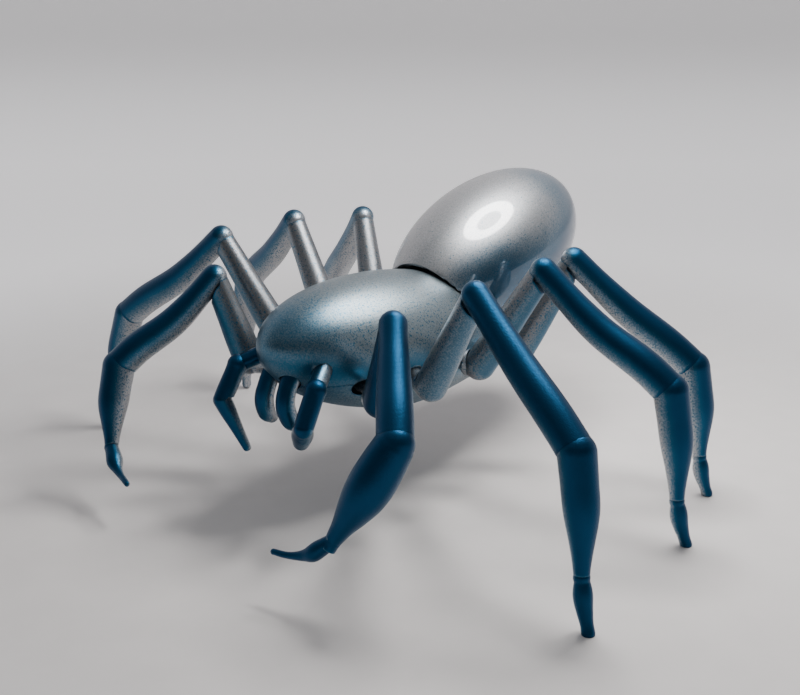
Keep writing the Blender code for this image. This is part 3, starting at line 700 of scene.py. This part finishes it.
def duct_mesh(start, end, near, far):
    """Oval duct; near and far are (half width, half height) in millimetres."""
    along = end - start
    turn = axes(along, UP).to_4x4()
    grid = bmesh.new()
    bmesh.ops.create_cone(grid, cap_ends=True, segments=48, radius1=1.0, radius2=1.0,
                          depth=along.length)
    for vertex in grid.verts:
        wide, high = near if vertex.co.z < 0 else far
        vertex.co.x *= wide * MM
        vertex.co.y *= high * MM
    grid.transform(Matrix.Translation((start + end) / 2) @ turn)
    return mesh_from(grid, "duct")


def carved(mesh, tools, name):
    """The mesh with every tool cut out of it."""
    obj = bpy.data.objects.new(name, mesh)
    bpy.context.scene.collection.objects.link(obj)
    helpers = []
    for tool in tools:
        helper = bpy.data.objects.new("tool", tool)
        bpy.context.scene.collection.objects.link(helper)
        helpers.append(helper)
        change = obj.modifiers.new("cut", "BOOLEAN")
        change.operation = "DIFFERENCE"
        change.object = helper
    bpy.context.view_layer.update()
    depsgraph = bpy.context.evaluated_depsgraph_get()
    result = bpy.data.meshes.new_from_object(obj.evaluated_get(depsgraph))
    result.name = name
    for old in helpers + [obj]:
        bpy.data.objects.remove(old, do_unlink=True)
    return result


def block_mesh(low, high):
    """Box between two corners in millimetres."""
    grid = bmesh.new()
    bmesh.ops.create_cube(grid, size=1.0)
    size = [b - a for a, b in zip(low, high)]
    middle = [(a + b) / 2 for a, b in zip(low, high)]
    scale = Matrix.Diagonal((*[s * MM for s in size], 1.0))
    grid.transform(Matrix.Translation(spot(middle)) @ scale)
    return mesh_from(grid, "block")


def body_tools():
    """Pockets for the coxae, fangs and palp roots."""
    tools = []
    for side_name, side in SIDES:
        for number in LEG_ENDS[side_name]:
            pin = joint_place(f"{side_name}_leg_{number}_swivel")
            out = (joint_place(f"{side_name}_leg_{number}_lift") - pin).normalized()
            hole = COXA_NECK + POCKET_GAP
            tools.append(ball_mesh(pin, COXA_BALL + POCKET_GAP))
            tools.append(duct_mesh(pin, pin + out * COXA_WINDOW_LENGTH * MM, (hole, hole),
                                   (COXA_NECK + COXA_SWING, hole)))
        pivot = joint_place(side_name + "_chelicera_hinge")
        down = (spot(CHELICERA_POINTS[0], side) - pivot).normalized()
        tools.append(ball_mesh(pivot, CHELICERA_HOLE))
        tools.append(duct_mesh(pivot, pivot + down * CHELICERA_WINDOW_LENGTH * MM,
                               *CHELICERA_WINDOW))
        root, hinge = spot(PALP_ROOT, side), joint_place(side_name + "_palp_hinge")
        back = (root - hinge).normalized()
        hole = (PALP_ROOT_HOLE, PALP_ROOT_HOLE)
        tools.append(duct_mesh(root + back * PALP_HOLE_DEPTH * MM, hinge, hole, hole))
    return tools


def raise_belly(mesh):
    """Make the underside shallower towards the rear."""
    points = np.empty(len(mesh.vertices) * 3)
    mesh.vertices.foreach_get("co", points)
    points = points.reshape(-1, 3)
    depth = np.maximum(SPLIT_Z * MM - points[:, 2], 0.0)
    points[:, 2] += depth * BELLY_RISE * smooth(points[:, 1] / MM, *BELLY_Y)
    mesh.vertices.foreach_set("co", points.ravel())
    mesh.update()


def build_body():
    """Carapace and sternum: one body, cut apart by a thin seam."""
    tools = body_tools()
    wide, deep = CUT_REACH
    for name, low, high in (
            ("carapace", (-wide, -deep, -50), (wide, deep, SPLIT_Z + SEAM / 2)),
            ("sternum", (-wide, -deep, SPLIT_Z - SEAM / 2), (wide, deep, 150))):
        mesh = ellipsoid(name, THORAX_CENTRE, THORAX_HALF, THORAX_TILT, *THORAX_MESH)
        raise_belly(mesh)
        mesh = carved(mesh, [block_mesh(low, high)] + tools, name + "_shell")
        publish(name + "_shell", mesh, "body", "thorax_paint", [name], thorax_paint,
                scar=under_scar)


def carapace_distance(start, directions, clear):
    """How far lines from a start run before they come near the carapace, in metres."""
    half = (np.array(THORAX_HALF) + clear) * MM
    turn = np.array(Matrix.Rotation(radians(THORAX_TILT), 3, "X"))
    begin = (np.array(start) - np.array(spot(THORAX_CENTRE))) @ turn / half
    step = directions @ turn / half
    a = (step * step).sum(axis=1)
    b = 2 * step @ begin
    c = begin @ begin - 1
    disc = b * b - 4 * a * c
    reach = (-b - np.sqrt(np.maximum(disc, 0.0))) / (2 * a)
    return np.where((disc > 0) & (reach > 0), reach, 1.0)


def build_abdomen():
    """Ellipsoid drawn in where it sits over the carapace, at rest and tipped up."""
    mesh = ellipsoid("abdomen_shell", ABDOMEN_CENTRE, ABDOMEN_HALF, ABDOMEN_TILT, *ABDOMEN_MESH)
    centre = spot(ABDOMEN_CENTRE)
    points = np.empty(len(mesh.vertices) * 3)
    mesh.vertices.foreach_get("co", points)
    rays = points.reshape(-1, 3) - np.array(centre)
    far = np.linalg.norm(rays, axis=1)
    rays /= far[:, None]
    pivot = joint_place("abdomen_pitch")
    limit = np.full(len(far), 1.0)
    for angle in (0.0, top_of("abdomen_pitch") / 2, top_of("abdomen_pitch")):
        tip = Matrix.Rotation(radians(angle), 3, joint_axis("abdomen_pitch"))
        clear = ABDOMEN_CLEAR if angle == 0 else TIPPED_CLEAR
        limit = np.minimum(limit, carapace_distance(pivot + tip @ (centre - pivot),
                                                    rays @ np.array(tip).T, clear))
    soft = ABDOMEN_RIM * MM
    share = np.clip(0.5 + 0.5 * (limit - far) / soft, 0.0, 1.0)
    reach = limit + (far - limit) * share - soft * share * (1 - share)
    mesh.vertices.foreach_set("co", (np.array(centre) + rays * reach[:, None]).ravel())
    mesh.update()
    publish("abdomen_shell", mesh, "abdomen", "abdomen_paint", ["abdomen"], abdomen_paint)


def paint_pedicel():
    """The hidden lug under the abdomen keeps its CAD shape."""
    node = frame["nodes"]["pedicel"]
    node.data.materials.clear()
    node.data.materials.append(PAINTS["silver_paint"])


# ---------------------------------------------------------------- studio


def glowing_backdrop_paper(name, colour, speck):
    """Matt paper with painted light: it glows a little away from the figure, not near it, and less
    higher up.
    """
    g = Graph(name)
    place = g.add("ShaderNodeTexCoord").outputs["Object"]
    tone = g.add("ShaderNodeVectorMath", operation="SCALE")
    tone.inputs[0].default_value = colour
    g.link(g.ramp(g.noise(place, speck, 3.0), 0.3, 0.7, 0.985, 1.015), tone.inputs["Scale"])
    g.link(tone.outputs[0], g.shader.inputs["Base Color"])
    g.fill(g.shader, {"Roughness": 0.85, "Specular IOR Level": 0.2,
                      "Emission Color": (0.97, 0.965, 1.0, 1.0)})
    apart = g.add("ShaderNodeSeparateXYZ")
    g.link(place, apart.inputs[0])
    radius = g.math("SQRT", g.math("ADD", g.math("POWER", apart.outputs["X"], 2.0),
                                   g.math("POWER", apart.outputs["Y"], 2.0)))
    # Painted light: the emission grows with distance from the figure and halves up the wall.
    far = g.ramp(radius, 0.11, 0.42, 0.0, 0.60)
    g.link(g.math("MULTIPLY", far, g.ramp(apart.outputs["Z"], 0.0, 0.12, 1.0, 0.5)),
           g.shader.inputs["Emission Strength"])
    return g.material


def build_backdrop():
    """Floor that sweeps up into a pale wall behind the figure."""
    turn = radians(CAMERA_TURN)
    away = Vector((-sin(turn), cos(turn), 0))
    across = Vector((cos(turn), sin(turn), 0))
    profile = [(FLOOR_NEAR, 0.0), (FLOOR_FAR, 0.0)]
    for k in range(1, COVE_STEPS + 1):
        a = pi / 2 * k / COVE_STEPS
        profile.append((FLOOR_FAR + COVE_RADIUS * sin(a), COVE_RADIUS * (1 - cos(a))))
    profile.append((FLOOR_FAR + COVE_RADIUS, WALL_TOP))
    grid = bmesh.new()
    left = [grid.verts.new(away * d - across * BACKDROP_HALF + UP * h) for d, h in profile]
    right = [grid.verts.new(away * d + across * BACKDROP_HALF + UP * h) for d, h in profile]
    for a, b, c, d in zip(left, right, right[1:], left[1:]):
        grid.faces.new((a, b, c, d))
    mesh = mesh_from(grid, "backdrop")
    mesh.shade_smooth()
    mesh.materials.append(glowing_backdrop_paper("glowing_backdrop_paper", PAPER, PAPER_SPECK))
    obj = bpy.data.objects.new("backdrop", mesh)
    bpy.context.scene.collection.objects.link(obj)


def glow(name, strength):
    g = Graph(name)
    g.fill(g.shader, {"Base Color": (0.0, 0.0, 0.0, 1.0), "Emission Color": (1.0, 0.985, 0.97, 1.0),
                      "Emission Strength": strength})
    return g.material


def build_ring_lamp():
    """Flat ring of light above the figure."""
    grid = bmesh.new()
    angles = [2 * pi * j / LAMP_SIDES for j in range(LAMP_SIDES)]
    rows = [[grid.verts.new(Vector(LAMP_PLACE) + Vector((r * cos(a), r * sin(a), 0)))
             for a in angles] for r in LAMP_RADII]
    for j in range(LAMP_SIDES):
        k = (j + 1) % LAMP_SIDES
        grid.faces.new((rows[0][j], rows[0][k], rows[1][k], rows[1][j]))
    mesh = mesh_from(grid, "ring_lamp")
    mesh.materials.append(glow("ring_glow", LAMP_STRENGTH))
    obj = bpy.data.objects.new("ring_lamp", mesh)
    bpy.context.scene.collection.objects.link(obj)
    obj.visible_camera = False


def build_tent_light():
    """Pale tent all round, open and dark towards the camera."""
    world = bpy.data.worlds.new("tent")
    bpy.context.scene.world = world
    world.use_nodes = True
    tree = world.node_tree
    shade = tree.nodes["Background"]
    place = tree.nodes.new("ShaderNodeTexCoord")
    turn = radians(CAMERA_TURN)
    facing = tree.nodes.new("ShaderNodeVectorMath")
    facing.operation = "DOT_PRODUCT"
    facing.inputs[1].default_value = (sin(turn), -cos(turn), 0.0)
    tree.links.new(place.outputs["Generated"], facing.inputs[0])
    height = tree.nodes.new("ShaderNodeSeparateXYZ")
    tree.links.new(place.outputs["Generated"], height.inputs[0])
    front = tree.nodes.new("ShaderNodeMapRange")
    front.interpolation_type = "SMOOTHSTEP"
    low = tree.nodes.new("ShaderNodeMapRange")
    low.interpolation_type = "SMOOTHSTEP"
    for node, values in ((front, TENT_FRONT), (low, TENT_LOW)):
        for key, value in zip(("From Min", "From Max", "To Min", "To Max"), values):
            node.inputs[key].default_value = value
    tree.links.new(facing.outputs["Value"], front.inputs["Value"])
    tree.links.new(height.outputs["Z"], low.inputs["Value"])
    both = tree.nodes.new("ShaderNodeMath")
    both.operation = "MULTIPLY"
    tree.links.new(front.outputs["Result"], both.inputs[0])
    tree.links.new(low.outputs["Result"], both.inputs[1])
    level = tree.nodes.new("ShaderNodeMapRange")
    level.inputs["To Min"].default_value = TENT_LEVEL
    level.inputs["To Max"].default_value = TENT_OPENING
    tree.links.new(both.outputs[0], level.inputs["Value"])
    shade.inputs["Color"].default_value = (0.93, 0.96, 1.0, 1.0)
    tree.links.new(level.outputs["Result"], shade.inputs["Strength"])


def build_camera():
    """Camera fitted to the photograph."""
    data = bpy.data.cameras.new("camera")
    data.lens = CAMERA_LENS
    data.sensor_width = 36.0
    data.clip_start = 0.01
    data.clip_end = 20.0
    obj = bpy.data.objects.new("camera", data)
    a, b = radians(CAMERA_TURN), radians(CAMERA_DIP)
    look = Vector((-sin(a) * cos(b), cos(a) * cos(b), -sin(b)))
    obj.location = CAMERA_PLACE
    obj.rotation_euler = look.to_track_quat("-Z", "Y").to_euler()
    bpy.context.scene.collection.objects.link(obj)
    bpy.context.scene.camera = obj


def main():
    build_camera()
    build_backdrop()
    build_ring_lamp()
    build_tent_light()
    build_body()
    build_abdomen()
    paint_pedicel()
    for side_name, side in SIDES:
        for number in LEG_ENDS[side_name]:
            build_leg(side_name, side, number)
        build_palp(side_name, side)
        build_chelicera(side_name, side)


main()
